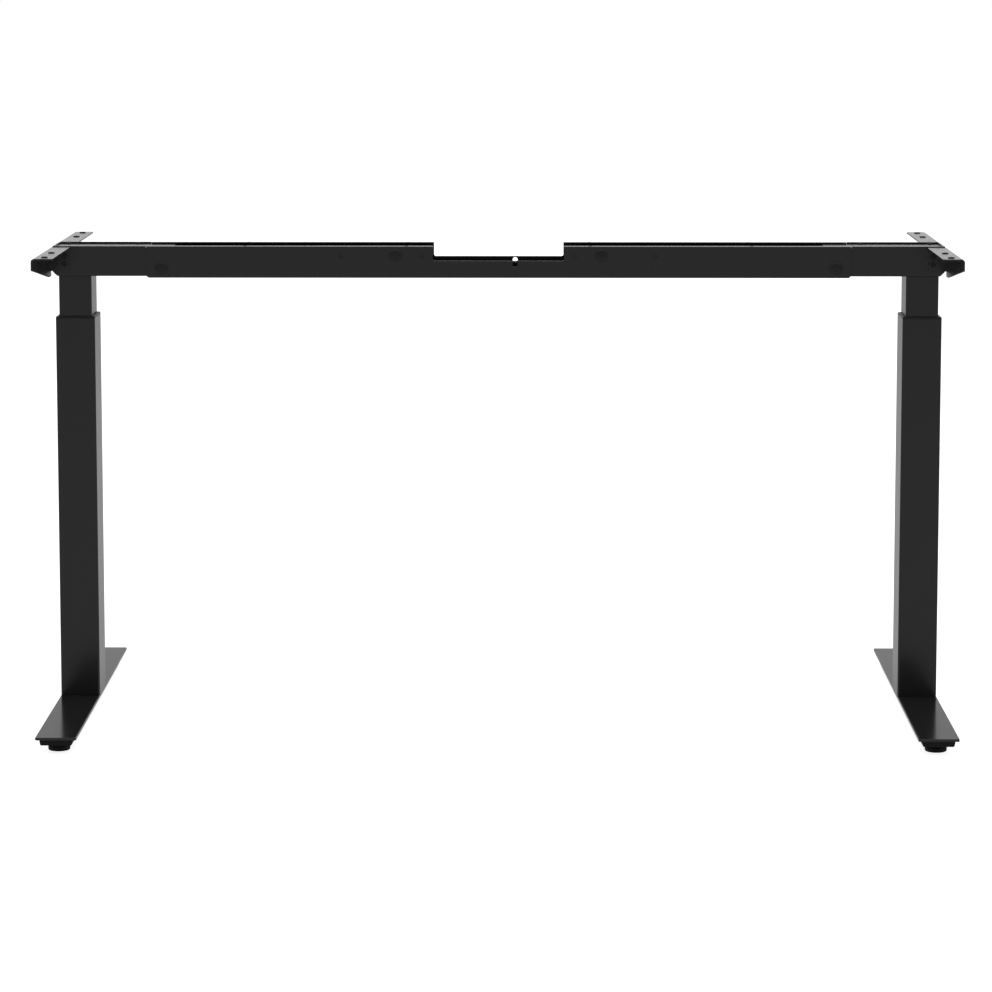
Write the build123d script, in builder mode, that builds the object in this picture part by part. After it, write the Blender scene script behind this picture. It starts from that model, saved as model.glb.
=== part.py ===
"""Two-column height adjustable desk frame, modelled piece by piece.

Millimetres, +Z up, +X to the right and +Y to the back. The origin is on the floor, midway
between the two feet. The frame stands almost at its lowest height and at its narrowest width.
"""

import math
import os

from build123d import *

os.makedirs("parts", exist_ok=True)

# Layout of the whole frame
FRAME_TOP = 724.0
LEG_X = 647.0
SIDES = {"left": -1, "right": 1}
ENDS = {"front": -1, "rear": 1}
WELD_GAP = 0.1
SLIDE_GAP = 0.3
THREAD_GAP = 0.05
CUT_PAST = 1.0
HALF_TURN_BEVEL = math.radians(22.5)

# Foot: a flat plate on a shallow pressed stiffener
FOOT_WIDTH = 60.0
FOOT_LENGTH = 700.0
FOOT_THICK = 4.0
FOOT_BOTTOM = 23.0
FOOT_TOP = FOOT_BOTTOM + FOOT_THICK
FOOT_CORNER = 2.5
FOOT_EDGE = 0.6
STIFFENER_WIDTH = 49.0
STIFFENER_LENGTH = 690.0
STIFFENER_DEPTH = 9.5
STIFFENER_SLOPE = 1.5
STIFFENER_WALL = 2.5
STIFFENER_RIM = 4.0
STIFFENER_BEND = 3.0
STIFFENER_BOTTOM = FOOT_BOTTOM - STIFFENER_DEPTH

# Levelling glides, M8
GLIDE_Y = 305.0
GLIDE_RADIUS = 16.25
GLIDE_PAD_HEIGHT = 6.5
GLIDE_GROOVE_RADIUS = 14.0
GLIDE_GROOVE_HEIGHT = 1.5
GLIDE_ROUND = 2.0
GLIDE_SEAT = 4.0
GLIDE_TOP = STIFFENER_BOTTOM - SLIDE_GAP
M8_RADIUS = 4.0
M8_CLEARANCE = 4.5
M8_NUT_ACROSS = 13.0
M8_NUT_HEIGHT = 6.0
STUD_TOP = FOOT_BOTTOM - 0.5
STUD_CHAMFER = 0.8

# Column: a fixed outer tube and an inner tube that rises out of it
OUTER_WIDTH = 60.0
OUTER_DEPTH = 80.0
INNER_WIDTH = 50.0
INNER_DEPTH = 70.0
TUBE_WALL = 1.5
TUBE_CORNER = 2.5
TUBE_INNER_CORNER = TUBE_CORNER - TUBE_WALL
OUTER_TOP = 613.0
INNER_BOTTOM = 48.0

COLLAR_THICK = 3.0
COLLAR_CHAMFER = 1.2
COLLAR_SKIRT = 18.0
COLLAR_LIP = 0.6
SLIDER_HEIGHT = 80.0
SLIDER_WINDOW = 40.0
SLIDER_RIB = 12.0

# Joint between the foot and the column
BASE_PLATE_THICK = 6.0
BASE_PLATE_TOP = FOOT_TOP + BASE_PLATE_THICK
COLUMN_BOLT_X = 13.0
COLUMN_BOLT_Y = 28.0
COLUMN_BOLT = {"head_radius": 6.5, "head_height": 4.5, "shank_radius": M8_RADIUS, "key": 5.0}
COLUMN_BOLT_LENGTH = FOOT_THICK + BASE_PLATE_THICK - 1.0
COLUMN_BOLT_ACCESS = 8.0

# Lift drive inside each column
PUSH_TUBE_RADIUS = 15.0
PUSH_TUBE_BORE = 12.0
DRIVE_NUT_RADIUS = 18.0
DRIVE_NUT_BOTTOM = 515.0
DRIVE_NUT_HEIGHT = 22.0
DRIVE_NUT_SPIGOT = 10.0
SPINDLE_RADIUS = 8.0
SPINDLE_BOTTOM = 45.0
SPINDLE_TOP = 578.0
SPINDLE_CHAMFER = 1.0
SPINDLE_ROOM = 2.0
GEARBOX_BOTTOM = 558.0
GEARBOX_FLANGE = 14.0
GEARBOX_TOP = 594.0
BEARING_RADIUS = 16.0
BEARING_HEIGHT = 10.0
MOTOR_RADIUS = 21.0
MOTOR_ROUND = 2.0
MOTOR_TOP = 660.0
MOTOR_CAP_RADIUS = 17.0
MOTOR_CAP_HEIGHT = 8.0

# Head of each column: a telescoping U rail with a cover plate
HEAD_BOTTOM = 678.0
HEAD_HALF_DEPTH = 42.5
HEAD_WALL = 2.5
HEAD_BEND = 3.0
HEAD_OUTER_X = 680.0
HEAD_INNER_X = 105.0
HEAD_CORNER_CUT = 7.0
HEAD_INSERT_HEIGHT = 14.0
HEAD_BOLT_X = 15.0
HEAD_BOLT_Y = 25.0
M6_RADIUS = 3.0
HEAD_BOLT = {"head_radius": 5.0, "head_height": 3.2, "shank_radius": M6_RADIUS, "key": 4.0}
HEAD_BOLT_LENGTH = HEAD_WALL + HEAD_INSERT_HEIGHT - 2.0
M6_CLEARANCE = 3.3
CABLE_HOLE_RADIUS = 8.0

COVER_TOP = FRAME_TOP - 2.5
COVER_THICK = 2.5
COVER_INNER_X = 498.0
COVER_BOLT_X = (557.0, 664.0)
COVER_BOLT_Y = 33.0
STRIP_LENGTH = 14.0
STRIP_THICK = 3.0
M4_RADIUS = 2.0
COVER_BOLT = {"head_radius": 3.5, "head_height": 1.8, "shank_radius": M4_RADIUS, "key": 2.5}
COVER_BOLT_LENGTH = COVER_THICK + STRIP_THICK - 0.5

# Centre channel, in which both head rails slide
CHANNEL_HALF_LENGTH = 536.6
CHANNEL_HALF_DEPTH = 45.0
CHANNEL_WALL = 2.0
CHANNEL_BEND = 2.0
CHANNEL_END_CUT = 3.0
CHANNEL_BOTTOM = HEAD_BOTTOM - SLIDE_GAP - CHANNEL_WALL
CHANNEL_LIP = 12.0
NOTCH_HALF_WIDTH = 100.0
NOTCH_BOTTOM = 702.0
NOTCH_ROUND = 3.0
HEAD_STEP_X = CHANNEL_HALF_LENGTH + 1.0
RAIL_TOP = FRAME_TOP - CHANNEL_WALL - SLIDE_GAP
SIGHT_HOLES = ((239.0, 710.0), (116.0, 710.0))
SIGHT_HOLE_RADIUS = 4.0
TIE_HOLE = (25.4, 696.5)
TIE_HOLE_RADIUS = 4.0
LIP_HOLE_X = (386.0, 140.0)
LIP_HOLE_RADIUS = 3.2

CLAMP_SCREWS = ((514.0, 690.6), (157.0, 710.4))
CLAMP_RADIUS = 10.8
CLAMP_FACE_RADIUS = 7.6
CLAMP_RIM_HEIGHT = 0.8
CLAMP_HEIGHT = 3.0

# Side arms that carry the tabletop, with a rubber grommet in each of their mounting holes
GROMMET_LIP = 1.2
GROMMET_RADIUS = 4.9
GROMMET_BORE = 2.75
GROMMET_ROUND = 0.4
ARM_TOP = FRAME_TOP - GROMMET_LIP
ARM_OUTER_X = 684.4
ARM_INNER_X = 652.4
ARM_TIP_Y = 260.0
ARM_WALL = 2.4
ARM_BEND = 5.0
ARM_CORNER = 3.0
WEB_BOTTOM = 678.3
WEB_TIP_BOTTOM = 705.0
WEB_TAPER_Y = 67.0
ARM_HOLE_X = 667.0
ARM_HOLES_Y = (235.0, 155.0)
ARM_HOLE_RADIUS = 4.0
ARM_PILOT_Y = 63.0
ARM_PILOT_RADIUS = 2.5
TAB_INNER_X = 655.0
TAB_BOTTOM = 686.0
TAB_BOLT_X = 661.0
TAB_BOLTS_Z = (696.5, 708.0)
M5_RADIUS = 2.5
M5_CLEARANCE = 2.75
TAB_BOLT = {"head_radius": 4.4, "head_height": 2.6, "shank_radius": M5_RADIUS, "key": 3.0}
TAB_BOLT_LENGTH = ARM_WALL + HEAD_WALL + 4.0

# Shares of a screw head's height
HEAD_ROUND_SHARE = 0.25
SOCKET_SHARE = 0.6

RAISED = (Align.CENTER, Align.CENTER, Align.MIN)
SUNK = (Align.CENTER, Align.CENTER, Align.MAX)


def level(x, z):
    """Horizontal plane at height z, centred on the leg at x."""
    return Plane((x, 0, z))


def facing(end, x, y, z):
    """Place on a front or rear wall whose own Z points outwards."""
    return Location((x, end * y, z), (-90 * end, 0, 0))


def save(piece, name):
    """Label a finished piece and write it to its own file."""
    piece.part.label = name
    export_step(piece.part, f"parts/{name}.step")


def make_screw(length, head_radius, head_height, shank_radius, key):
    """Socket screw with its seat at z = 0, head above and a shank of the given length below."""
    with BuildPart() as screw:
        Cylinder(head_radius, head_height, align=RAISED)
        fillet(screw.edges().group_by(Axis.Z)[-1], head_height * HEAD_ROUND_SHARE)
        Cylinder(shank_radius - THREAD_GAP, length, align=SUNK)
        with BuildSketch(Plane.XY.offset(head_height)):
            RegularPolygon(key / math.sqrt(3), 6)
        extrude(amount=-head_height * SOCKET_SHARE, mode=Mode.SUBTRACT)
    return screw.part


def make_clamp_screw():
    """Flat thumb screw, seat at z = 0; its shank stops short of the rail it presses on."""
    shank = CHANNEL_HALF_DEPTH - HEAD_HALF_DEPTH - SLIDE_GAP
    with BuildPart() as screw:
        Cylinder(CLAMP_RADIUS, CLAMP_RIM_HEIGHT, align=RAISED)
        with Locations((0, 0, CLAMP_RIM_HEIGHT)):
            Cone(CLAMP_RADIUS, CLAMP_FACE_RADIUS, CLAMP_HEIGHT - CLAMP_RIM_HEIGHT, align=RAISED)
        Cylinder(M6_RADIUS - THREAD_GAP, shank, align=SUNK)
    return screw.part


def make_foot(side, x):
    """Foot plate, its stiffener, and the nuts and screws fixed to them."""
    with BuildPart() as foot_plate:
        with BuildSketch(level(x, FOOT_BOTTOM)):
            RectangleRounded(FOOT_WIDTH, FOOT_LENGTH, FOOT_CORNER)
        extrude(amount=FOOT_THICK)
        fillet(foot_plate.faces().sort_by(Axis.Z)[-1].edges(), FOOT_EDGE)
        with Locations((x, 0, FOOT_TOP)):
            with GridLocations(2 * COLUMN_BOLT_X, 2 * COLUMN_BOLT_Y, 2, 2):
                Hole(M8_CLEARANCE)
    save(foot_plate, f"{side}_foot_plate")

    floor_z = STIFFENER_BOTTOM + STIFFENER_WALL
    with BuildPart() as stiffener:
        with BuildSketch(level(x, STIFFENER_BOTTOM)):
            Rectangle(STIFFENER_WIDTH - 2 * STIFFENER_SLOPE, STIFFENER_LENGTH - 2 * STIFFENER_SLOPE)
        with BuildSketch(level(x, FOOT_BOTTOM)):
            Rectangle(STIFFENER_WIDTH, STIFFENER_LENGTH)
        loft()
        fillet(stiffener.faces().sort_by(Axis.Z)[0].edges(), STIFFENER_BEND)
        with BuildSketch(level(x, floor_z)):
            Rectangle(STIFFENER_WIDTH - 2 * STIFFENER_RIM, STIFFENER_LENGTH - 2 * STIFFENER_RIM)
        extrude(amount=FOOT_BOTTOM - floor_z, mode=Mode.SUBTRACT)
        with Locations((x, -GLIDE_Y, STIFFENER_BOTTOM), (x, GLIDE_Y, STIFFENER_BOTTOM)):
            Hole(M8_CLEARANCE)
        with Locations((x, 0, STIFFENER_BOTTOM)):
            with GridLocations(2 * COLUMN_BOLT_X, 2 * COLUMN_BOLT_Y, 2, 2):
                Hole(COLUMN_BOLT_ACCESS)
    save(stiffener, f"{side}_foot_stiffener")

    with BuildPart() as nuts:
        with BuildSketch(level(x, STIFFENER_BOTTOM + STIFFENER_WALL)):
            with Locations((0, -GLIDE_Y), (0, GLIDE_Y)):
                RegularPolygon(M8_NUT_ACROSS / math.sqrt(3), 6)
                Circle(M8_RADIUS, mode=Mode.SUBTRACT)
        extrude(amount=M8_NUT_HEIGHT)
    save(nuts, f"{side}_foot_nuts")

    screw = make_screw(COLUMN_BOLT_LENGTH, **COLUMN_BOLT)
    with BuildPart() as column_screws:
        with Locations(Location((x, 0, FOOT_BOTTOM), (180, 0, 0))):
            with GridLocations(2 * COLUMN_BOLT_X, 2 * COLUMN_BOLT_Y, 2, 2):
                add(screw)
    save(column_screws, f"{side}_column_screws")


def make_glide(name, x, y):
    """Levelling glide: a grooved pad on the lower end of an M8 stud."""
    with BuildPart() as pad:
        with BuildSketch(Plane((x, y, 0), x_dir=(1, 0, 0), z_dir=(0, -1, 0))) as profile:
            with BuildLine():
                Polyline(
                    (0, 0),
                    (GLIDE_RADIUS, 0),
                    (GLIDE_RADIUS, GLIDE_PAD_HEIGHT),
                    (GLIDE_GROOVE_RADIUS, GLIDE_PAD_HEIGHT),
                    (GLIDE_GROOVE_RADIUS, GLIDE_PAD_HEIGHT + GLIDE_GROOVE_HEIGHT),
                    (GLIDE_RADIUS, GLIDE_PAD_HEIGHT + GLIDE_GROOVE_HEIGHT),
                    (GLIDE_RADIUS, GLIDE_TOP),
                    (0, GLIDE_TOP),
                    close=True,
                )
            make_face()
            fillet(profile.vertices().group_by(Axis.Z)[0].sort_by(Axis.X)[-1], GLIDE_ROUND)
        revolve(axis=Axis((x, y, 0), (0, 0, 1)))
        with Locations((x, y, GLIDE_TOP)):
            Hole(M8_RADIUS, depth=GLIDE_TOP - GLIDE_SEAT)
    save(pad, f"{name}_glide_pad")

    with BuildPart() as stud:
        with Locations((x, y, GLIDE_SEAT)):
            Cylinder(M8_RADIUS - THREAD_GAP, STUD_TOP - GLIDE_SEAT, align=RAISED)
        chamfer(stud.edges().group_by(Axis.Z)[-1], STUD_CHAMFER)
    save(stud, f"{name}_glide_stud")


def make_column(side, x):
    """Outer tube with its welded base and collar, and the inner tube with its slider."""
    cavity_width = OUTER_WIDTH - 2 * TUBE_WALL
    cavity_depth = OUTER_DEPTH - 2 * TUBE_WALL
    bore_width = INNER_WIDTH - 2 * TUBE_WALL
    bore_depth = INNER_DEPTH - 2 * TUBE_WALL

    with BuildPart() as outer_tube:
        with BuildSketch(level(x, FOOT_TOP)):
            RectangleRounded(OUTER_WIDTH, OUTER_DEPTH, TUBE_CORNER)
            RectangleRounded(cavity_width, cavity_depth, TUBE_INNER_CORNER, mode=Mode.SUBTRACT)
        extrude(amount=OUTER_TOP - FOOT_TOP)
    save(outer_tube, f"{side}_outer_tube")

    with BuildPart() as column_base:
        with BuildSketch(level(x, FOOT_TOP)):
            RectangleRounded(cavity_width - 2 * WELD_GAP, cavity_depth - 2 * WELD_GAP, TUBE_INNER_CORNER)
        extrude(amount=BASE_PLATE_THICK)
        with Locations((x, 0, BASE_PLATE_TOP)):
            with GridLocations(2 * COLUMN_BOLT_X, 2 * COLUMN_BOLT_Y, 2, 2):
                Hole(M8_RADIUS)
    save(column_base, f"{side}_column_base")

    with BuildPart() as collar:
        with BuildSketch(level(x, OUTER_TOP)):
            RectangleRounded(OUTER_WIDTH, OUTER_DEPTH, TUBE_CORNER)
        extrude(amount=COLLAR_THICK)
        chamfer(collar.faces().sort_by(Axis.Z)[-1].edges(), COLLAR_CHAMFER)
        with BuildSketch(level(x, OUTER_TOP - COLLAR_SKIRT)):
            RectangleRounded(cavity_width - 2 * WELD_GAP, cavity_depth - 2 * WELD_GAP, TUBE_INNER_CORNER)
        extrude(amount=COLLAR_SKIRT)
        with BuildSketch(level(x, OUTER_TOP - COLLAR_SKIRT)):
            RectangleRounded(INNER_WIDTH + 2 * SLIDE_GAP, INNER_DEPTH + 2 * SLIDE_GAP, TUBE_CORNER)
        extrude(amount=COLLAR_SKIRT + COLLAR_THICK, mode=Mode.SUBTRACT)
        rim = collar.faces().sort_by(Axis.Z)[-1].inner_wires()[0]
        chamfer(rim.edges(), COLLAR_LIP)
    save(collar, f"{side}_collar")

    with BuildPart() as inner_tube:
        with BuildSketch(level(x, INNER_BOTTOM)):
            RectangleRounded(INNER_WIDTH, INNER_DEPTH, TUBE_CORNER)
            RectangleRounded(bore_width, bore_depth, TUBE_INNER_CORNER, mode=Mode.SUBTRACT)
        extrude(amount=HEAD_BOTTOM - INNER_BOTTOM)
    save(inner_tube, f"{side}_inner_tube")

    with BuildPart() as slider:
        with BuildSketch(level(x, INNER_BOTTOM)):
            RectangleRounded(cavity_width - 2 * SLIDE_GAP, cavity_depth - 2 * SLIDE_GAP, TUBE_INNER_CORNER)
            RectangleRounded(INNER_WIDTH, INNER_DEPTH, TUBE_CORNER, mode=Mode.SUBTRACT)
        extrude(amount=SLIDER_HEIGHT)
        with Locations((x, 0, INNER_BOTTOM + SLIDER_HEIGHT / 2)):
            Box(INNER_WIDTH - 2 * SLIDER_RIB, OUTER_DEPTH, SLIDER_WINDOW, mode=Mode.SUBTRACT)
            Box(OUTER_WIDTH, INNER_DEPTH - 2 * SLIDER_RIB, SLIDER_WINDOW, mode=Mode.SUBTRACT)
    save(slider, f"{side}_lower_slider")


def make_drive(side, x):
    """Spindle drive: nut on a push tube in the foot, motor, gearbox and spindle in the inner tube."""
    block_width = INNER_WIDTH - 2 * TUBE_WALL - 2 * WELD_GAP
    block_depth = INNER_DEPTH - 2 * TUBE_WALL - 2 * WELD_GAP

    with BuildPart() as push_tube:
        with BuildSketch(level(x, BASE_PLATE_TOP)):
            Circle(PUSH_TUBE_RADIUS)
            Circle(PUSH_TUBE_BORE, mode=Mode.SUBTRACT)
        extrude(amount=DRIVE_NUT_BOTTOM - BASE_PLATE_TOP)
    save(push_tube, f"{side}_push_tube")

    with BuildPart() as drive_nut:
        with Locations((x, 0, DRIVE_NUT_BOTTOM)):
            Cylinder(DRIVE_NUT_RADIUS, DRIVE_NUT_HEIGHT, align=RAISED)
            Cylinder(PUSH_TUBE_BORE - THREAD_GAP, DRIVE_NUT_SPIGOT, align=SUNK)
            Hole(SPINDLE_RADIUS + THREAD_GAP)
    save(drive_nut, f"{side}_drive_nut")

    with BuildPart() as spindle:
        with Locations((x, 0, SPINDLE_BOTTOM)):
            Cylinder(SPINDLE_RADIUS, SPINDLE_TOP - SPINDLE_BOTTOM, align=RAISED)
        chamfer(spindle.edges().filter_by(GeomType.CIRCLE), SPINDLE_CHAMFER)
    save(spindle, f"{side}_drive_spindle")

    with BuildPart() as bearing:
        with BuildSketch(level(x, GEARBOX_BOTTOM)):
            Circle(BEARING_RADIUS)
            Circle(SPINDLE_RADIUS + THREAD_GAP, mode=Mode.SUBTRACT)
        extrude(amount=BEARING_HEIGHT)
    save(bearing, f"{side}_spindle_bearing")

    with BuildPart() as gearbox:
        with BuildSketch(level(x, GEARBOX_BOTTOM)):
            RectangleRounded(block_width, block_depth, TUBE_INNER_CORNER)
        extrude(amount=GEARBOX_FLANGE)
        with BuildSketch(level(x, GEARBOX_BOTTOM + GEARBOX_FLANGE)):
            Circle(MOTOR_RADIUS)
        extrude(amount=GEARBOX_TOP - GEARBOX_BOTTOM - GEARBOX_FLANGE)
        with Locations(Location((x, 0, GEARBOX_BOTTOM), (180, 0, 0))):
            CounterBoreHole(
                SPINDLE_RADIUS + THREAD_GAP,
                BEARING_RADIUS + THREAD_GAP,
                BEARING_HEIGHT,
                depth=SPINDLE_TOP - GEARBOX_BOTTOM + SPINDLE_ROOM,
            )
    save(gearbox, f"{side}_gearbox")

    with BuildPart() as motor:
        with Locations((x, 0, GEARBOX_TOP)):
            Cylinder(MOTOR_RADIUS, MOTOR_TOP - MOTOR_CAP_HEIGHT - GEARBOX_TOP, align=RAISED)
        fillet(motor.edges().group_by(Axis.Z)[-1], MOTOR_ROUND)
        with Locations((x, 0, MOTOR_TOP)):
            Cylinder(MOTOR_CAP_RADIUS, MOTOR_CAP_HEIGHT, align=SUNK)
    save(motor, f"{side}_motor")

    with BuildPart() as insert:
        with BuildSketch(level(x, HEAD_BOTTOM - HEAD_INSERT_HEIGHT)):
            RectangleRounded(block_width, block_depth, TUBE_INNER_CORNER)
            Circle(CABLE_HOLE_RADIUS, mode=Mode.SUBTRACT)
        extrude(amount=HEAD_INSERT_HEIGHT)
        with Locations((x, 0, HEAD_BOTTOM)):
            with GridLocations(2 * HEAD_BOLT_X, 2 * HEAD_BOLT_Y, 2, 2):
                Hole(M6_RADIUS)
    save(insert, f"{side}_head_insert")


def make_head(side, sign):
    """Telescoping head rail, closed at its outer end, with its cover plate and screws."""
    x = sign * LEG_X
    web_top = HEAD_BOTTOM + HEAD_WALL
    outer = HEAD_OUTER_X
    cut = HEAD_CORNER_CUT
    inner_cut = cut + HEAD_WALL * math.tan(HALF_TURN_BEVEL)

    outline = (
        (outer, FRAME_TOP),
        (outer, HEAD_BOTTOM + cut),
        (outer - cut, HEAD_BOTTOM),
        (HEAD_INNER_X, HEAD_BOTTOM),
        (HEAD_INNER_X, RAIL_TOP),
        (HEAD_STEP_X, RAIL_TOP),
        (HEAD_STEP_X, FRAME_TOP),
    )
    hollow = (
        (outer - HEAD_WALL, FRAME_TOP + CUT_PAST),
        (outer - HEAD_WALL, HEAD_BOTTOM + inner_cut),
        (outer - inner_cut, web_top),
        (HEAD_INNER_X - CUT_PAST, web_top),
        (HEAD_INNER_X - CUT_PAST, FRAME_TOP + CUT_PAST),
    )
    with BuildPart() as rail:
        with BuildSketch(Plane.XZ):
            with BuildLine():
                Polyline(*[(sign * along, height) for along, height in outline], close=True)
            make_face()
        extrude(amount=HEAD_HALF_DEPTH, both=True)
        fillet(rail.edges().filter_by(Axis.X).group_by(Axis.Z)[0], HEAD_BEND)
        with BuildSketch(Plane.XZ):
            with BuildLine():
                Polyline(*[(sign * along, height) for along, height in hollow], close=True)
            make_face()
        extrude(amount=HEAD_HALF_DEPTH - HEAD_WALL, both=True, mode=Mode.SUBTRACT)
        for strip_x in COVER_BOLT_X:
            with Locations((sign * strip_x, 0, COVER_TOP - COVER_THICK)):
                Box(STRIP_LENGTH, 2 * (HEAD_HALF_DEPTH - HEAD_WALL) + WELD_GAP, STRIP_THICK, align=SUNK)
                with Locations((0, -COVER_BOLT_Y), (0, COVER_BOLT_Y)):
                    Hole(M4_RADIUS, depth=STRIP_THICK)
        with Locations((x, 0, web_top)):
            Hole(CABLE_HOLE_RADIUS, depth=HEAD_WALL)
            with GridLocations(2 * HEAD_BOLT_X, 2 * HEAD_BOLT_Y, 2, 2):
                Hole(M6_CLEARANCE, depth=HEAD_WALL)
        with Locations(*[facing(1, sign * TAB_BOLT_X, 0, bolt_z) for bolt_z in TAB_BOLTS_Z]):
            Hole(M5_CLEARANCE)
    save(rail, f"{side}_head_rail")

    cover_outer = outer - HEAD_WALL - WELD_GAP
    cover_rows = (-COVER_BOLT_Y, COVER_BOLT_Y)
    cover_seats = [(sign * along, y, COVER_TOP) for along in COVER_BOLT_X for y in cover_rows]
    with BuildPart() as cover:
        with BuildSketch(Plane((sign * (cover_outer + COVER_INNER_X) / 2, 0, COVER_TOP - COVER_THICK))):
            Rectangle(cover_outer - COVER_INNER_X, 2 * (HEAD_HALF_DEPTH - HEAD_WALL - WELD_GAP))
        extrude(amount=COVER_THICK)
        fillet(cover.faces().sort_by(Axis.Z)[-1].edges(), FOOT_EDGE)
        with Locations(*cover_seats):
            Hole(M4_RADIUS)
    save(cover, f"{side}_head_cover")

    small_screw = make_screw(COVER_BOLT_LENGTH, **COVER_BOLT)
    with BuildPart() as cover_screws:
        with Locations(*cover_seats):
            add(small_screw)
    save(cover_screws, f"{side}_cover_screws")

    screw = make_screw(HEAD_BOLT_LENGTH, **HEAD_BOLT)
    with BuildPart() as head_screws:
        with Locations((x, 0, web_top)):
            with GridLocations(2 * HEAD_BOLT_X, 2 * HEAD_BOLT_Y, 2, 2):
                add(screw)
    save(head_screws, f"{side}_head_screws")


def make_arm(side, sign, end_name, end):
    """Pressed angle: a top flange, an outer web that tapers to the tip, and a tab on the head rail."""
    section = (
        (ARM_INNER_X, ARM_TOP),
        (ARM_OUTER_X, ARM_TOP),
        (ARM_OUTER_X, WEB_BOTTOM),
        (ARM_OUTER_X - ARM_WALL, WEB_BOTTOM),
        (ARM_OUTER_X - ARM_WALL, ARM_TOP - ARM_WALL),
        (ARM_INNER_X, ARM_TOP - ARM_WALL),
    )
    taper = (
        (WEB_TAPER_Y, WEB_BOTTOM),
        (ARM_TIP_Y, WEB_TIP_BOTTOM),
        (ARM_TIP_Y + CUT_PAST, WEB_TIP_BOTTOM),
        (ARM_TIP_Y + CUT_PAST, WEB_BOTTOM - CUT_PAST),
        (WEB_TAPER_Y, WEB_BOTTOM - CUT_PAST),
    )
    with BuildPart() as arm:
        with BuildSketch(Plane.XZ.offset(-end * HEAD_HALF_DEPTH)):
            with BuildLine():
                Polyline(*[(sign * along, height) for along, height in section], close=True)
            make_face()
        extrude(dir=(0, end, 0), amount=ARM_TIP_Y - HEAD_HALF_DEPTH)
        bends = arm.edges().filter_by(Axis.Y).sort_by(lambda edge: sign * edge.center().X + edge.center().Z)
        fillet(bends[-1], ARM_BEND)
        fillet(bends[-2], ARM_BEND - ARM_WALL)
        with BuildSketch(Plane.YZ):
            with BuildLine():
                Polyline(*[(end * along, height) for along, height in taper], close=True)
            make_face()
        extrude(amount=sign * 2 * ARM_OUTER_X, mode=Mode.SUBTRACT)
        tab_x = sign * (ARM_OUTER_X + TAB_INNER_X) / 2
        tab_y = end * (HEAD_HALF_DEPTH + ARM_WALL / 2)
        with Locations((tab_x, tab_y, TAB_BOTTOM)):
            Box(ARM_OUTER_X - TAB_INNER_X, ARM_WALL, ARM_TOP - ARM_WALL - TAB_BOTTOM, align=RAISED)
        tip = arm.edges().group_by(Axis.Y)[-1 if end > 0 else 0].filter_by(Axis.Z)
        fillet(tip.sort_by(lambda edge: sign * edge.center().X)[0], ARM_CORNER)
        with Locations((sign * ARM_HOLE_X, 0, ARM_TOP)):
            with Locations(*[(0, end * hole_y) for hole_y in ARM_HOLES_Y]):
                Hole(ARM_HOLE_RADIUS, depth=ARM_WALL)
            with Locations((0, end * ARM_PILOT_Y)):
                Hole(ARM_PILOT_RADIUS, depth=ARM_WALL)
        with Locations(*[facing(end, sign * TAB_BOLT_X, HEAD_HALF_DEPTH + ARM_WALL, z) for z in TAB_BOLTS_Z]):
            Hole(M5_CLEARANCE, depth=ARM_WALL)
    save(arm, f"{side}_{end_name}_arm")


def make_arm_fittings(side, sign):
    """Button screws that hold both arm tabs to the head rail, and the grommets in the arms."""
    screw = make_screw(TAB_BOLT_LENGTH, **TAB_BOLT)
    with BuildPart() as arm_screws:
        for end in ENDS.values():
            seats = [facing(end, sign * TAB_BOLT_X, HEAD_HALF_DEPTH + ARM_WALL, z) for z in TAB_BOLTS_Z]
            with Locations(*seats):
                add(screw)
    save(arm_screws, f"{side}_arm_screws")

    height = ARM_WALL + 2 * GROMMET_LIP
    with BuildPart() as grommet:
        Cylinder(GROMMET_RADIUS, height, align=SUNK)
        fillet(grommet.edges().group_by(Axis.Z)[-1], GROMMET_ROUND)
        with BuildSketch(Plane.XY.offset(-GROMMET_LIP)):
            Circle(2 * GROMMET_RADIUS)
            Circle(ARM_HOLE_RADIUS - THREAD_GAP, mode=Mode.SUBTRACT)
        extrude(amount=-ARM_WALL, mode=Mode.SUBTRACT)
        Hole(GROMMET_BORE, depth=height)
    with BuildPart() as grommets:
        with Locations((sign * ARM_HOLE_X, 0, FRAME_TOP)):
            with Locations(*[(0, end * hole_y) for end in ENDS.values() for hole_y in ARM_HOLES_Y]):
                add(grommet.part)
    save(grommets, f"{side}_arm_grommets")


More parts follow.
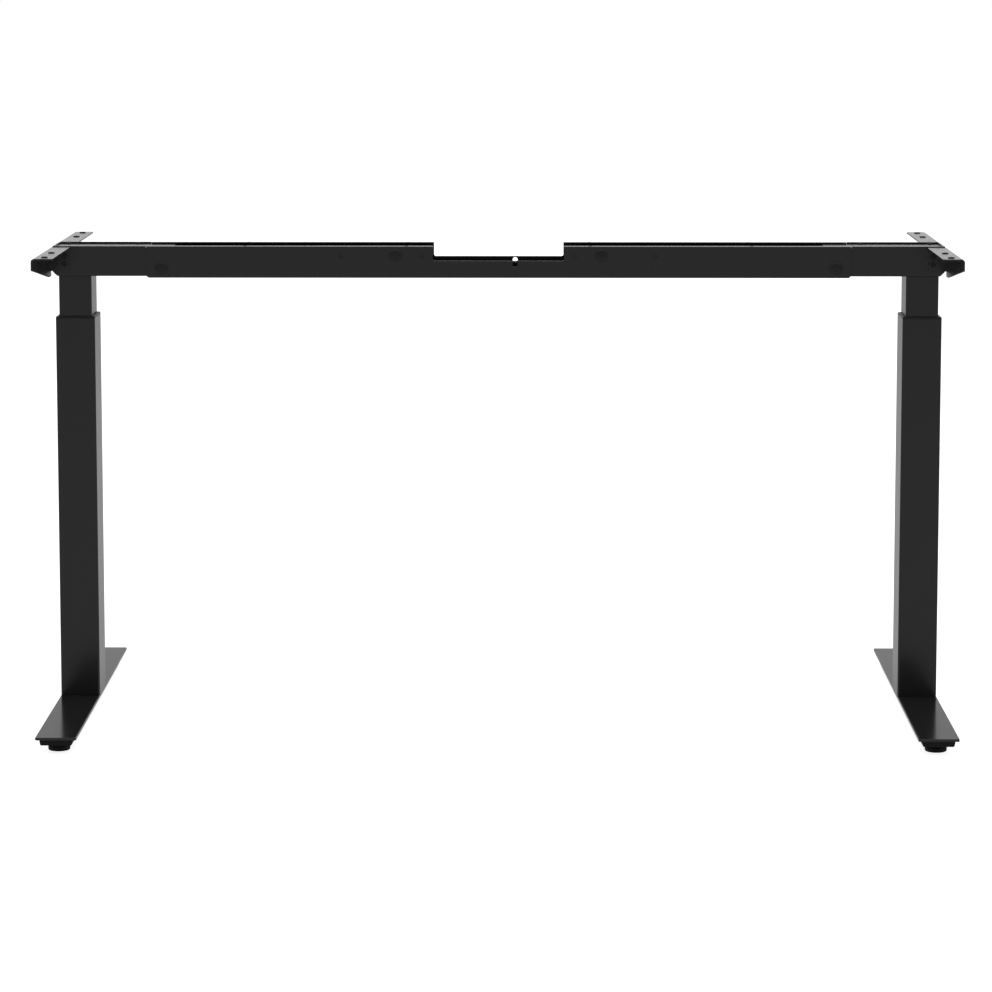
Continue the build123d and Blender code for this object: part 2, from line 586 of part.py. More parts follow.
def make_centre():
    """Centre channel with inward lips, a notch in its middle, and the screws that clamp the rails."""
    height = FRAME_TOP - CHANNEL_BOTTOM
    inside = CHANNEL_HALF_DEPTH - CHANNEL_WALL
    with BuildPart() as channel:
        with Locations((0, 0, FRAME_TOP)):
            Box(2 * CHANNEL_HALF_LENGTH, 2 * CHANNEL_HALF_DEPTH, height, align=SUNK)
        chamfer(channel.edges().filter_by(Axis.Y).group_by(Axis.Z)[0], CHANNEL_END_CUT)
        fillet(channel.edges().filter_by(Axis.X), CHANNEL_BEND)
        past_ends = 2 * (CHANNEL_HALF_LENGTH + CUT_PAST)
        slot = 2 * (CHANNEL_HALF_DEPTH - CHANNEL_LIP)
        with Locations((0, 0, FRAME_TOP - CHANNEL_WALL)):
            Box(past_ends, 2 * inside, height - 2 * CHANNEL_WALL, align=SUNK, mode=Mode.SUBTRACT)
            Box(past_ends, slot, 2 * (CHANNEL_WALL + CUT_PAST), mode=Mode.SUBTRACT)
        with BuildSketch(Plane.XZ) as notch:
            with Locations((0, NOTCH_BOTTOM)):
                Rectangle(2 * NOTCH_HALF_WIDTH, height, align=(Align.CENTER, Align.MIN))
            fillet(notch.vertices().group_by(Axis.Z)[0], NOTCH_ROUND)
        extrude(amount=2 * CHANNEL_HALF_DEPTH, both=True, mode=Mode.SUBTRACT)
        for along, hole_z in CLAMP_SCREWS:
            with Locations(facing(1, -along, 0, hole_z), facing(1, along, 0, hole_z)):
                Hole(M6_RADIUS)
        for along, hole_z in SIGHT_HOLES:
            with Locations(facing(1, -along, 0, hole_z), facing(1, along, 0, hole_z)):
                Hole(SIGHT_HOLE_RADIUS)
        with Locations(facing(1, TIE_HOLE[0], 0, TIE_HOLE[1])):
            Hole(TIE_HOLE_RADIUS)
        for along in LIP_HOLE_X:
            with Locations((0, 0, FRAME_TOP)):
                with GridLocations(2 * along, 2 * (CHANNEL_HALF_DEPTH - CHANNEL_LIP / 2), 2, 2):
                    Hole(LIP_HOLE_RADIUS, depth=2 * CHANNEL_WALL)
    save(channel, "centre_channel")

    screw = make_clamp_screw()
    with BuildPart() as clamp_screws:
        for end in ENDS.values():
            for along, seat_z in CLAMP_SCREWS:
                seats = [facing(end, sign * along, CHANNEL_HALF_DEPTH, seat_z) for sign in SIDES.values()]
                with Locations(*seats):
                    add(screw)
    save(clamp_screws, "width_clamp_screws")


for side_name, side_sign in SIDES.items():
    leg_x = side_sign * LEG_X
    make_foot(side_name, leg_x)
    for end_label, end_sign in ENDS.items():
        make_glide(f"{side_name}_{end_label}", leg_x, end_sign * GLIDE_Y)
        make_arm(side_name, side_sign, end_label, end_sign)
    make_column(side_name, leg_x)
    make_drive(side_name, leg_x)
    make_head(side_name, side_sign)
    make_arm_fittings(side_name, side_sign)
make_centre()
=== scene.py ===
# %% [markdown]
# # A height adjustable desk frame
# Two telescoping steel columns stand on long flat feet. A beam joins their heads, and four short
# arms wait for a tabletop. The whole frame is black powder coat, so its look comes from three
# things: clean edges, the soft gloss of the coat, and what the coat reflects. This lesson loads
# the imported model, builds the finishes, remakes the pieces that deserve a finer surface, and
# lights it all in a plain white studio.

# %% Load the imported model
import math

import bpy
import numpy as np
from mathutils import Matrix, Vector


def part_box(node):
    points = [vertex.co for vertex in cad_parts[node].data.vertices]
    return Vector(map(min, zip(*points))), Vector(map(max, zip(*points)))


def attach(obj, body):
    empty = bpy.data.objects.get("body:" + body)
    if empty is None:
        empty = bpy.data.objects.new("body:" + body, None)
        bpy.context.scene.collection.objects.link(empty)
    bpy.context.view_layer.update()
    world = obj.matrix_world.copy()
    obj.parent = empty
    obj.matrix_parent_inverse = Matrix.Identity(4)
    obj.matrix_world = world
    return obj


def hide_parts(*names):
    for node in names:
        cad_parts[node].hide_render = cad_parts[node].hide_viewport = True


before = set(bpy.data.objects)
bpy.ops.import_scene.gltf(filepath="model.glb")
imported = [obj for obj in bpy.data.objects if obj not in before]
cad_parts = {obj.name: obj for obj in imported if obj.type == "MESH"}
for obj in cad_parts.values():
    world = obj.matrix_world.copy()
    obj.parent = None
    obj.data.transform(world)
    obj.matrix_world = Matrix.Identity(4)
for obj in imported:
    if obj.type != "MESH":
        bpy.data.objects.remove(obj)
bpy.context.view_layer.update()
MM = 0.001
SIDES = ("left", "right")
ENDS = ("front", "rear")

# %% [markdown]
# ## Camera first
# The frame was seen from well back with a long lens, a little right of the middle and above the
# top of the beam. A long lens keeps the near and far ends of the feet close in size. The camera
# stands at fixed distances, given in metres. It turns
# down by a few degrees to look at the middle of the frame.

# %% Camera
LENS = 133.05
SENSOR = 36.0
EYE_RIGHT = 0.0378
EYE_BACK = 5.613
EYE_HEIGHT = 1.1787
EYE_DOWN = math.radians(7.171)
EYE_LEFT = math.radians(0.426)
FRAME_SHIFT = -0.09

camera_data = bpy.data.cameras.new("camera")
camera_data.lens = LENS
camera_data.sensor_width = SENSOR
camera_data.shift_y = FRAME_SHIFT
camera_data.clip_end = 100.0
camera = bpy.data.objects.new("camera", camera_data)
camera.location = (EYE_RIGHT, -EYE_BACK, EYE_HEIGHT)
camera.rotation_euler = (math.pi / 2 - EYE_DOWN, 0.0, EYE_LEFT)
bpy.context.scene.collection.objects.link(camera)
bpy.context.scene.camera = camera
print("camera", round(EYE_BACK, 3), "m in front of the columns")


# %% [markdown]
# ## Writing shader maths as sums
# A material is a graph of nodes, and a graph is hard to read as code. The small class below wraps
# one socket and gives it plus, minus and times, so that a mask reads like a formula. Every other
# node comes from one method, `add`, which takes the node's type, its settings and its inputs.


# %% Shader helpers
class Wire:
    """One output socket in a node tree. Arithmetic on it adds Math nodes."""

    def __init__(self, tree, socket):
        self.tree = tree
        self.socket = socket

    def _maths(self, operation, first, second):
        return add(self.tree, "ShaderNodeMath", {"operation": operation}, {0: first, 1: second})

    def __add__(self, other):
        return self._maths("ADD", self, other)

    def __radd__(self, other):
        return self._maths("ADD", other, self)

    def __sub__(self, other):
        return self._maths("SUBTRACT", self, other)

    def __rsub__(self, other):
        return self._maths("SUBTRACT", other, self)

    def __mul__(self, other):
        return self._maths("MULTIPLY", self, other)

    def __rmul__(self, other):
        return self._maths("MULTIPLY", other, self)


def add(tree, kind, settings=None, inputs=None, output=0):
    """Adds one node: its settings first, then the values or links of its sockets."""
    node = tree.nodes.new(kind)
    for name, value in (settings or {}).items():
        setattr(node, name, value)
    for name, value in (inputs or {}).items():
        socket = node.inputs[name]
        if isinstance(value, Wire):
            tree.links.new(value.socket, socket)
        else:
            socket.default_value = value
    return Wire(tree, node.outputs[output])


def new_material(name):
    """An empty material with its tree, its surface shader and the object's own coordinates."""
    material = bpy.data.materials.new(name)
    material.use_nodes = True
    tree = material.node_tree
    tree.nodes.clear()
    output = tree.nodes.new("ShaderNodeOutputMaterial")
    surface = tree.nodes.new("ShaderNodeBsdfPrincipled")
    tree.links.new(surface.outputs[0], output.inputs["Surface"])
    where = add(tree, "ShaderNodeTexCoord", output="Object")
    return material, tree, surface, where


def noise(tree, where, scale, detail=2.0, stretch=(1.0, 1.0, 1.0)):
    """Soft noise from 0 to 1. Scale is features to the metre, and stretch draws it out along an axis."""
    placed = add(tree, "ShaderNodeMapping", inputs={"Vector": where, "Scale": stretch})
    return add(tree, "ShaderNodeTexNoise", inputs={"Vector": placed, "Scale": scale, "Detail": detail})


def mix_colour(tree, factor, low, high):
    """Colour that goes from low to high as factor goes from 0 to 1."""
    return add(
        tree,
        "ShaderNodeMix",
        {"data_type": "RGBA"},
        {0: factor, 6: (*low, 1.0), 7: (*high, 1.0)},
        output=2,
    )


def relief(tree, surface, height, distance, strength, edge=0.0):
    """Tilts the surface's normal by a height from 0 to 1, times distance in metres, over rounded edges."""
    inputs = {"Height": height, "Distance": distance, "Strength": strength}
    if edge:
        inputs["Normal"] = add(tree, "ShaderNodeBevel", {"samples": 4}, {"Radius": edge})
    bump = add(tree, "ShaderNodeBump", inputs=inputs)
    tree.links.new(bump.socket, surface.inputs["Normal"])


def feed(tree, surface, **sockets):
    """Sets sockets of the surface shader, by name with _ for a space, to a value or a Wire."""
    for name, value in sockets.items():
        socket = surface.inputs[name.replace("_", " ")]
        if isinstance(value, Wire):
            tree.links.new(value.socket, socket)
        else:
            socket.default_value = value


# %% [markdown]
# ## Powder coat
# Powder coat is dry paint, baked until it flows. It stays a little uneven, like very fine orange
# peel, and its gloss drifts slowly over a long part. The colour is nearly nothing, because black
# paint shows its surroundings and not itself. So the finish here is a low, even base colour, a
# roughness that drifts, a shallow relief whose grains are one to two millimetres wide, and edges
# rounded by the coat. The feet get a glossier copy of the same coat. Its paler base colour is
# painted light, which stands in for the light that falls on their tops.


# %% Powder coat
PALER = 1.18
BLUER = 1.03
DRIFT_SCALE = 9.0
FLECK_SCALE = 900.0
PEEL_DEPTH = 0.12 * MM
PEEL_STRENGTH = 0.05
COATED_EDGE = 0.7 * MM


def powder_coat(name, gloss, shade):
    """Black semi-gloss paint. Roughness is gloss plus a slow drift, relief is two sizes of grain."""
    material, tree, surface, where = new_material(name)
    drift = noise(tree, where, DRIFT_SCALE, 3.0)
    fleck = noise(tree, where, FLECK_SCALE, 1.0)
    dark = (shade, shade, BLUER * shade)
    pale = tuple(PALER * channel for channel in dark)
    feed(
        tree,
        surface,
        Base_Color=mix_colour(tree, drift, dark, pale),
        Roughness=gloss + (drift - 0.5) * 0.05 + (fleck - 0.5) * 0.04,
        IOR=1.5,
    )
    grain = noise(tree, where, 420.0, 2.0) * 0.7 + noise(tree, where, 1500.0, 1.0) * 0.3
    relief(tree, surface, grain, PEEL_DEPTH, PEEL_STRENGTH, edge=COATED_EDGE)
    return material


sheet_coat = powder_coat("powder_coat_sheet", 0.20, 0.0092)
tube_coat = powder_coat("powder_coat_tube", 0.20, 0.0092)
# The feet's paler base colour is painted light: it stands in for the light on their tops.
lit_foot_coat = powder_coat("powder_coat_foot_painted_light", 0.16, 0.0140)

# %% [markdown]
# ## Plastic and rubber
# The collar on each column is moulded nylon, duller than the paint, with the very fine spark
# texture of its mould. The glides and the arms' grommets are rubber: matt, a little dusty, and
# almost without a highlight. The stiffeners under the feet are made the same way, near black and
# matt, much darker than the coat, and the sliders inside the columns are natural acetal.


# %% Plastic and rubber
def moulded(name, low, high, roughness, grain_scale, depth):
    """Moulded plastic or rubber with an even grain of the mould, depth metres deep."""
    material, tree, surface, where = new_material(name)
    cloud = noise(tree, where, 25.0, 3.0)
    grain = noise(tree, where, grain_scale, 2.0)
    feed(
        tree,
        surface,
        Base_Color=mix_colour(tree, cloud, low, high),
        Roughness=roughness + (grain - 0.5) * 0.12,
        IOR=1.46,
    )
    relief(tree, surface, grain, depth, 0.25, edge=0.4 * MM)
    return material


nylon = moulded("black_nylon", (0.006, 0.006, 0.006), (0.009, 0.009, 0.009), 0.42, 1400.0, 0.08 * MM)
rubber = moulded("glide_rubber", (0.004, 0.004, 0.004), (0.008, 0.008, 0.008), 0.62, 700.0, 0.15 * MM)
# The stiffeners' base colour is near black, far darker than the coat beside them.
near_black_matt = moulded("near_black_matt_stiffener", (0.0015, 0.0015, 0.0015), (0.0030, 0.0030, 0.0030), 0.75, 900.0, 0.08 * MM)
acetal = moulded("natural_acetal", (0.66, 0.66, 0.62), (0.74, 0.74, 0.71), 0.38, 500.0, 0.05 * MM)

# %% [markdown]
# ## Bare and plated metals
# Fasteners that show are blackened. Inside the columns are drawn steel, a turned bronze nut and a
# zinc-plated motor. Drawn and turned parts carry fine lines along or round the part, so the
# relief noise is stretched in that direction.


# %% Metals
def metal(name, low, high, roughness, metallic, lines):
    """Metal whose fine lines run where lines is small: noise squeezed across them."""
    material, tree, surface, where = new_material(name)
    cloud = noise(tree, where, 40.0, 3.0)
    scratches = noise(tree, where, 600.0, 2.0, stretch=lines)
    feed(
        tree,
        surface,
        Base_Color=mix_colour(tree, cloud, low, high),
        Metallic=metallic,
        Roughness=roughness + (scratches - 0.5) * 0.15,
    )
    relief(tree, surface, scratches, 0.05 * MM, 0.3, edge=0.3 * MM)
    return material


ALONG_Z = (1.0, 1.0, 0.02)
ROUND_Z = (0.05, 0.05, 1.0)
EVEN = (1.0, 1.0, 1.0)
black_oxide = metal("black_oxide", (0.010, 0.010, 0.011), (0.018, 0.018, 0.019), 0.36, 0.35, EVEN)
zinc_plate = metal("zinc_plate", (0.46, 0.48, 0.50), (0.60, 0.61, 0.62), 0.28, 1.0, EVEN)
drawn_steel = metal("drawn_steel", (0.27, 0.27, 0.28), (0.36, 0.36, 0.37), 0.34, 1.0, ALONG_Z)
turned_steel = metal("turned_steel", (0.36, 0.36, 0.37), (0.44, 0.44, 0.45), 0.25, 1.0, ROUND_Z)
turned_bronze = metal("turned_bronze", (0.60, 0.40, 0.17), (0.72, 0.50, 0.24), 0.28, 1.0, ROUND_Z)

# %% [markdown]
# ## One finish for every piece
# Each CAD node keeps its shape and gets a finish by what its name ends in.

# %% Finishes for the CAD nodes
FINISH = {
    "foot_plate": lit_foot_coat,
    "foot_stiffener": near_black_matt,
    "foot_nuts": zinc_plate,
    "column_screws": black_oxide,
    "outer_tube": tube_coat,
    "column_base": drawn_steel,
    "collar": nylon,
    "push_tube": drawn_steel,
    "drive_nut": turned_bronze,
    "inner_tube": tube_coat,
    "lower_slider": acetal,
    "head_insert": turned_steel,
    "motor": zinc_plate,
    "gearbox": zinc_plate,
    "spindle_bearing": turned_steel,
    "head_rail": sheet_coat,
    "head_cover": sheet_coat,
    "front_arm": sheet_coat,
    "rear_arm": sheet_coat,
    "head_screws": black_oxide,
    "arm_screws": black_oxide,
    "cover_screws": black_oxide,
    "arm_grommets": rubber,
    "drive_spindle": turned_steel,
    "glide_pad": rubber,
    "glide_stud": zinc_plate,
    "centre_channel": sheet_coat,
    "width_clamp_screws": black_oxide,
}
for node_name, node_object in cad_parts.items():
    finish = next(FINISH[ending] for ending in FINISH if node_name.endswith(ending))
    node_object.data.materials.clear()
    node_object.data.materials.append(finish)
print("finished", len(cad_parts), "CAD nodes")

# %% [markdown]
# ## Surfaces from rings
# The tubes, collars, glides, screws and threads are all made the same way: a ring of points is
# repeated along the part, and each ring is joined to the next by four-sided faces. A tube closes
# on itself twice, round the ring and over its lips. A rod closes round the ring only, and a flat
# cap shuts each end. Working on whole arrays keeps this short, and the same few lines serve all
# of these parts.


# %% Rings to solids
def skin(rings, closed):
    """Points (m, n, 3) to vertices and faces. Closed joins the last ring to the first, else two caps."""
    rows, columns, _ = rings.shape
    last = rows if closed else rows - 1
    row = np.arange(last)[:, None]
    column = np.arange(columns)[None, :]
    after = (column + 1) % columns
    above = (row + 1) % rows
    here, beyond = row * columns, above * columns
    corners = (here + column, here + after, beyond + after, beyond + column)
    faces = np.stack(corners, axis=-1).reshape(-1, 4).tolist()
    if not closed:
        faces.append(list(range(columns))[::-1])
        faces.append(list(range((rows - 1) * columns, rows * columns)))
    return rings.reshape(-1, 3), faces


# %% Solids to pieces
SHARP = math.radians(35.0)


def show(name, solids, finish, body, *nodes):
    """One object from several solids, smooth but for sharp edges, riding on a body in place of nodes."""
    starts = np.cumsum([0] + [len(points) for points, _ in solids])
    points = np.concatenate([points for points, _ in solids])
    faces = []
    for start, (_, part) in zip(starts.tolist(), solids):
        faces += [[start + corner for corner in face] for face in part]
    mesh = bpy.data.meshes.new(name)
    mesh.from_pydata(points.tolist(), [], faces)
    mesh.polygons.foreach_set("use_smooth", np.ones(len(mesh.polygons), bool))
    mesh.set_sharp_from_angle(angle=SHARP)
    mesh.materials.append(finish)
    piece = bpy.data.objects.new(name, mesh)
    bpy.context.scene.collection.objects.link(piece)
    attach(piece, body)
    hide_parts(*nodes)
    print(f"{name}: {len(mesh.polygons)} faces on {body}")


def middle_and_half(node):
    """Middle and half size of a CAD node's box, in metres."""
    low, high = np.array(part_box(node))
    return (low + high) / 2, (high - low) / 2


# %% [markdown]
# ## Column tubes and collars
# A steel tube of this kind is rolled, so its corners are true arcs. The ring is a rectangle with
# round corners, and a profile says how far each ring is set in, how high it stands and how round
# its corners are. Two rings stand close together beside every lip, which keeps the long walls
# perfectly flat under smooth shading.

# %% Rounded tubes
CORNER_STEPS = 7
SUPPORT = 0.6 * MM


def rounded_ring(half_x, half_y, corner):
    """Corner centres plus corner * (cos t, sin t), t over a quarter turn, and a point beside each arc."""
    turn = np.linspace(0.0, math.pi / 2, CORNER_STEPS)
    arc = np.stack([np.cos(turn), np.sin(turn)], axis=-1) * corner
    before = arc[:1] - [[0.0, SUPPORT]]
    beyond = arc[-1:] - [[SUPPORT, 0.0]]
    quarter = np.concatenate([before, arc, beyond]) + [half_x - corner, half_y - corner]
    mirrored = quarter[::-1] * [-1.0, 1.0]
    half = np.concatenate([quarter, mirrored])
    return np.concatenate([half, -half])


def rounded_tube(centre, half, profile):
    """One rounded ring for each (inset, height, corner) of the profile, in metres, closed over the lips."""
    rings = []
    for inset, height, corner in profile:
        flat = rounded_ring(half[0] - inset, half[1] - inset, corner) + centre[:2]
        rings.append(np.column_stack([flat, np.full(len(flat), height)]))
    return skin(np.array(rings), closed=True)


def wall_profile(low, high, wall, outer_corner, lip):
    """Up the outside, over a rounded lip, down the inside and back under."""
    inner_corner = outer_corner - wall
    climb = (low + lip, low + lip + SUPPORT, high - lip - SUPPORT, high - lip)
    outside = [(0.0, height) for height in climb]
    inside = [(wall, height) for height in climb[::-1]]
    over = [(lip, high), (wall - lip, high)]
    under = [(wall - lip, low), (lip, low)]
    outer = [(inset, height, outer_corner) for inset, height in outside + over[:1]]
    inner = [(inset, height, inner_corner) for inset, height in over[1:] + inside + under[:1]]
    return outer + inner + [(lip, low, outer_corner)]


TUBE_WALL = 1.5 * MM
TUBE_CORNER = 2.5 * MM
TUBE_LIP = 0.3 * MM
COLLAR_CHAMFER = 1.2 * MM
COLLAR_GAP = 0.3 * MM
COLLAR_STEP = 0.4 * MM
SKIRT_CORNER = 1.0 * MM
for side in SIDES:
    for tube, body in (("outer_tube", "base"), ("inner_tube", "upper")):
        centre, half = middle_and_half(f"{side}_{tube}")
        profile = wall_profile(centre[2] - half[2], centre[2] + half[2], TUBE_WALL, TUBE_CORNER, TUBE_LIP)
        solid = rounded_tube(centre, half, profile)
        show(f"{side}_{tube}_rolled", [solid], tube_coat, f"{side}_{body}", f"{side}_{tube}")

    centre, half = middle_and_half(f"{side}_collar")
    _, tube_half = middle_and_half(f"{side}_inner_tube")
    _, tube_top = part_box(f"{side}_outer_tube")
    seat = tube_top[2]
    top = centre[2] + half[2]
    bottom = centre[2] - half[2]
    opening = half[0] - tube_half[0] - COLLAR_GAP
    skirt = TUBE_WALL + 0.1 * MM
    collar_profile = [
        (0.0, seat, TUBE_CORNER),
        (0.0, seat + COLLAR_STEP, TUBE_CORNER),
        (0.0, top - COLLAR_CHAMFER, TUBE_CORNER),
        (0.15 * MM, top - 0.8 * COLLAR_CHAMFER, TUBE_CORNER),
        (0.8 * COLLAR_CHAMFER, top - 0.15 * MM, TUBE_CORNER),
        (COLLAR_CHAMFER, top, TUBE_CORNER),
        (opening - 2 * COLLAR_STEP, top, TUBE_CORNER),
        (opening - COLLAR_STEP, top, TUBE_CORNER),
        (opening - 0.1 * MM, top - 0.2 * MM, TUBE_CORNER),
        (opening, top - COLLAR_STEP, TUBE_CORNER),
        (opening, top - 2 * COLLAR_STEP, TUBE_CORNER),
        (opening, bottom, TUBE_CORNER),
        (skirt, bottom, SKIRT_CORNER),
        (skirt, seat, SKIRT_CORNER),
    ]
    collar = rounded_tube(centre, half, collar_profile)
    show(f"{side}_collar_moulded", [collar], nylon, f"{side}_base", f"{side}_collar")
print("rolled four tubes and moulded two collars")

# %% [markdown]
# ## Threads
# A screw thread is a cylinder whose radius goes up and down with height, and whose pattern turns
# as it climbs. So the radius needs one formula: how far the height is through one pitch, after
# taking away the part of a pitch that the angle has already used. A trapezoid wave gives the flat
# crests of a drive spindle, and a pointed one gives a metric thread.

# %% Threaded rods
SPINDLE_THREAD = {
    "depth": 1.8 * MM,
    "pitch": 4.0 * MM,
    "starts": 2,
    "flat": 0.18,
    "step": 0.35 * MM,
    "around": 40,
}
STUD_THREAD = {
    "depth": 0.6 * MM,
    "pitch": 1.25 * MM,
    "starts": 1,
    "flat": 0.08,
    "step": 0.12 * MM,
    "around": 36,
}


def threaded_rod(node, depth, pitch, starts, flat, step, around):
    """r = R - depth * wave(z / pitch - starts * angle / 2 pi), where wave is a triangle cut flat, 0 to 1."""
    centre, half = middle_and_half(node)
    low, high = centre[2] - half[2], centre[2] + half[2]
    radius = half[0]
    count = int(round((high - low) / step)) + 1
    z = np.linspace(low, high, count)[:, None]
    angle = np.linspace(0.0, 2 * math.pi, around, endpoint=False)[None, :]
    phase = (z / pitch - starts * angle / (2 * math.pi)) % 1.0
    triangle = 1.0 - np.abs(2.0 * phase - 1.0)
    wave = np.clip((triangle - flat) / (1.0 - 2.0 * flat), 0.0, 1.0)
    fade = np.clip(np.minimum(z - low, high - z) / pitch, 0.0, 1.0)
    cut = depth * (wave * fade + (1.0 - fade))
    r = radius - cut
    x = centre[0] + r * np.cos(angle)
    y = centre[1] + r * np.sin(angle)
    return skin(np.stack([x, y, z + 0.0 * angle], axis=-1), closed=False)


for side in SIDES:
    node = f"{side}_drive_spindle"
    show(f"{node}_thread", [threaded_rod(node, **SPINDLE_THREAD)], turned_steel, f"{side}_spindle", node)
    for end in ENDS:
        node = f"{side}_{end}_glide_stud"
        show(f"{node}_thread", [threaded_rod(node, **STUD_THREAD)], zinc_plate, f"{side}_{end}_glide", node)
print("cut two spindles and four studs")

# %% [markdown]
# ## Turned and moulded round parts
# Glides, grommets and clamp screws are turned: a profile of radius against height, swept round an
# axis. Fingers need a grip on a glide and on a thumb screw, so their radius also ripples with the
# angle. The ripple is only let in where the part has its grip.


# %% Round parts
def turned(profile, ripples=0, ripple_depth=0.0, around=96, closed=False):
    """r = radius - grip * depth * (1 - cos(ripples * angle)) / 2, for rows of radius, height and grip."""
    radius, height, grip = np.array(profile).T[:, :, None]
    angle = np.linspace(0.0, 2 * math.pi, around, endpoint=False)[None, :]
    r = radius - grip * ripple_depth * (1.0 - np.cos(ripples * angle)) / 2
    rings = np.stack([r * np.cos(angle), r * np.sin(angle), height + 0.0 * angle], axis=-1)
    return skin(rings, closed)


def moved(solid, offset, end=0):
    """The solid shifted by offset. With end -1 or 1 its axis first turns to face the front or the rear."""
    points, faces = solid
    if end:
        points = points @ np.array([[1.0, 0.0, 0.0], [0.0, 0.0, -end], [0.0, end, 0.0]])
    return points + offset, faces


def millimetres(rows):
    """Profile rows of radius, height and grip, with the first two given in millimetres."""
    return [(radius * MM, height * MM, grip) for radius, height, grip in rows]


# %% Glides
GLIDE_PROFILE = millimetres(
    [
        (13.6, 0.0, 0.0),
        (14.4, 0.0, 0.0),
        (15.4, 0.4, 0.0),
        (16.0, 1.1, 0.3),
        (16.25, 2.1, 1.0),
        (16.25, 5.6, 1.0),
        (16.1, 6.1, 0.6),
        (15.7, 6.5, 0.0),
        (14.6, 6.6, 0.0),
        (14.1, 6.9, 0.0),
        (14.1, 7.6, 0.0),
        (14.6, 7.9, 0.0),
        (15.7, 8.0, 0.0),
        (16.1, 8.4, 0.0),
        (16.25, 9.0, 0.0),
        (16.25, 12.3, 0.0),
        (16.0, 12.9, 0.0),
        (15.4, 13.2, 0.0),
        (4.2, 13.2, 0.0),
    ]
)
GRIPS = 48
GRIP_DEPTH = 0.35 * MM
for side in SIDES:
    for end in ENDS:
        node = f"{side}_{end}_glide_pad"
        centre, half = middle_and_half(node)
        pad = turned(GLIDE_PROFILE, GRIPS, GRIP_DEPTH, around=4 * GRIPS)
        place = (centre[0], centre[1], centre[2] - half[2])
        show(f"{node}_moulded", [moved(pad, place)], rubber, f"{side}_{end}_glide", node)

# %% Grommets
GROMMET_PROFILE = millimetres(
    [
        (2.75, -4.4, 0.0),
        (3.1, -4.8, 0.0),
        (4.6, -4.8, 0.0),
        (4.9, -4.5, 0.0),
        (4.9, -3.7, 0.0),
        (3.95, -3.6, 0.0),
        (3.95, -1.2, 0.0),
        (4.9, -1.1, 0.0),
        (4.9, -0.5, 0.0),
        (4.7, -0.15, 0.0),
        (4.3, 0.0, 0.0),
        (3.2, 0.0, 0.0),
        (2.85, -0.15, 0.0),
        (2.75, -0.5, 0.0),
    ]
)
GROMMET_FLANGE = 4.9 * MM
GROMMET_SPACING = 80.0 * MM
for side in SIDES:
    node = f"{side}_arm_grommets"
    centre, half = middle_and_half(node)
    top = centre[2] + half[2]
    ring = turned(GROMMET_PROFILE, closed=True, around=48)
    far = half[1] - GROMMET_FLANGE
    places = [(centre[0], sign * y, top) for sign in (-1, 1) for y in (far, far - GROMMET_SPACING)]
    show(f"{node}_moulded", [moved(ring, place) for place in places], rubber, f"{side}_upper", node)

# %% Clamp screws
CLAMP_PROFILE = millimetres(
    [
        (2.95, -2.2, 0.0),
        (2.95, 0.0, 0.0),
        (10.5, 0.0, 0.0),
        (10.8, 0.25, 1.0),
        (10.8, 0.8, 1.0),
        (10.3, 1.15, 1.0),
        (8.1, 2.65, 0.5),
        (7.6, 2.9, 0.0),
        (7.0, 3.0, 0.0),
        (0.6, 3.0, 0.0),
    ]
)
KNURLS = 36
KNURL_DEPTH = 0.5 * MM
CLAMP_RADIUS = 10.8 * MM
CLAMP_THICK = 3.0 * MM
CLAMP_INNER_X = 157.0 * MM
clamp_low, clamp_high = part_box("width_clamp_screws")
wall_y = clamp_high[1] - CLAMP_THICK
outer_place = (clamp_high[0] - CLAMP_RADIUS, clamp_low[2] + CLAMP_RADIUS)
inner_place = (CLAMP_INNER_X, clamp_high[2] - CLAMP_RADIUS)
clamp = turned(CLAMP_PROFILE, KNURLS, KNURL_DEPTH, around=6 * KNURLS)
clamps = [
    moved(clamp, (sign * along, end * wall_y, height), end)
    for along, height in (outer_place, inner_place)
    for sign in (-1, 1)
    for end in (-1, 1)
]
show("width_clamp_screws_turned", clamps, black_oxide, "beam", "width_clamp_screws")
print("turned four glides, eight grommets and eight clamp screws")

# %% [markdown]
# ## A white studio
# The frame stands on a plain pale floor in a white room. What the eye of the camera sees is paper
# white, but the room that the paint reflects is dimmer, and dimmest on the camera's side, as a
# real studio is behind its lamps. The Light Path node tells the two apart. The walls are bright
# near the horizon and fade as they rise, and a soft ceiling begins above them. One large soft lamp
# overhead gives the floor its faint contact shadow.

# %% World and floor
ROOM_BACK = 1.05
ROOM_FRONT = 0.27
ROOM_UPPER = 0.40
SOFT_CEILING = 0.45

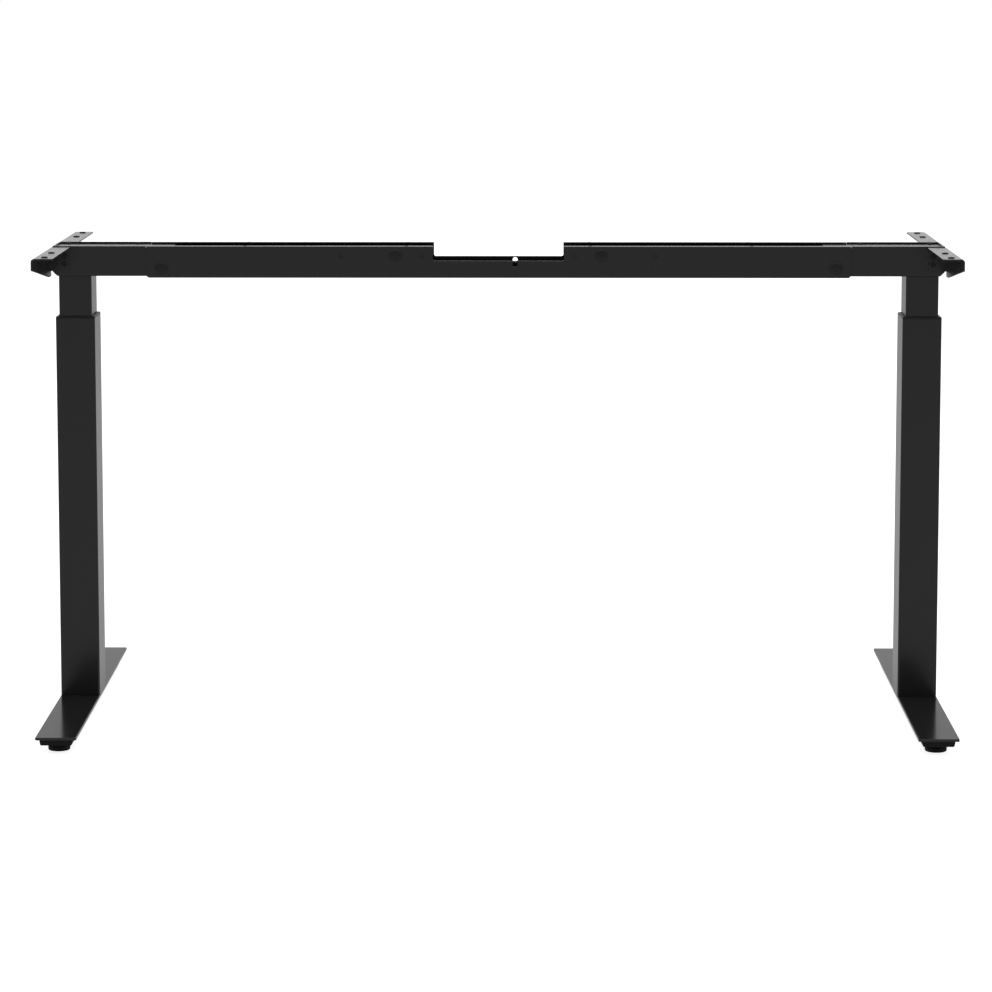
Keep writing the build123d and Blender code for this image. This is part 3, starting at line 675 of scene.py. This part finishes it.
world = bpy.data.worlds.new("studio")
world.use_nodes = True
bpy.context.scene.world = world
sky = world.node_tree
sky.nodes.clear()
direction = add(sky, "ShaderNodeTexCoord", output="Generated")
split = sky.nodes.new("ShaderNodeSeparateXYZ")
sky.links.new(direction.socket, split.inputs[0])
towards_back = Wire(sky, split.outputs["Y"]) * 0.5 + 0.5
rise = Wire(sky, split.outputs["Z"])
smooth = {"interpolation_type": "SMOOTHSTEP"}
walls = add(sky, "ShaderNodeMapRange", smooth, {0: rise, 1: 0.06, 2: 0.22, 3: 1.0, 4: ROOM_UPPER})
ceiling = add(sky, "ShaderNodeMapRange", smooth, {0: rise, 1: 0.28, 2: 0.55, 3: 0.0, 4: SOFT_CEILING})
room = (towards_back * (ROOM_BACK - ROOM_FRONT) + ROOM_FRONT) * walls + ceiling
seen = add(sky, "ShaderNodeLightPath", output="Is Camera Ray")
strength = room + seen * (1.0 - room)
backdrop = sky.nodes.new("ShaderNodeBackground")
backdrop.inputs["Color"].default_value = (1.0, 1.0, 1.0, 1.0)
sky.links.new(strength.socket, backdrop.inputs["Strength"])
world_output = sky.nodes.new("ShaderNodeOutputWorld")
sky.links.new(backdrop.outputs[0], world_output.inputs["Surface"])

FLOOR_REACH = 30.0
corners = np.array([[-1, -1, 0], [1, -1, 0], [1, 1, 0], [-1, 1, 0]], float) * FLOOR_REACH
floor_mesh = bpy.data.meshes.new("floor")
floor_mesh.from_pydata(corners.tolist(), [], [(0, 1, 2, 3)])
floor = bpy.data.objects.new("floor", floor_mesh)
bpy.context.scene.collection.objects.link(floor)
floor_paint, paint_tree, paint, _ = new_material("floor_paint")
FLOOR_GLOW = 0.03
FLOOR_LIFT = 0.80
glow = add(paint_tree, "ShaderNodeLightPath", output="Is Camera Ray") * FLOOR_LIFT + FLOOR_GLOW
feed(
    paint_tree,
    paint,
    Base_Color=(0.72, 0.72, 0.72, 1.0),
    Roughness=0.9,
    Specular_IOR_Level=0.0,
    Emission_Color=glow,
    Emission_Strength=1.0,
)
floor_mesh.materials.append(floor_paint)

# %% Soft lamp
LAMP_SIZE = 3.5
LAMP_PLACE = (0.0, 1.6, 3.6)
LAMP_POWER = 22.0
lamp_data = bpy.data.lights.new("soft_lamp", "AREA")
lamp_data.shape = "RECTANGLE"
lamp_data.size = LAMP_SIZE
lamp_data.size_y = LAMP_SIZE
lamp_data.energy = LAMP_POWER
lamp = bpy.data.objects.new("soft_lamp", lamp_data)
lamp.location = LAMP_PLACE
bpy.context.scene.collection.objects.link(lamp)
bpy.context.scene.view_settings.view_transform = "Standard"
print("one lamp of", LAMP_POWER, "W over a floor", 2 * FLOOR_REACH, "m wide")
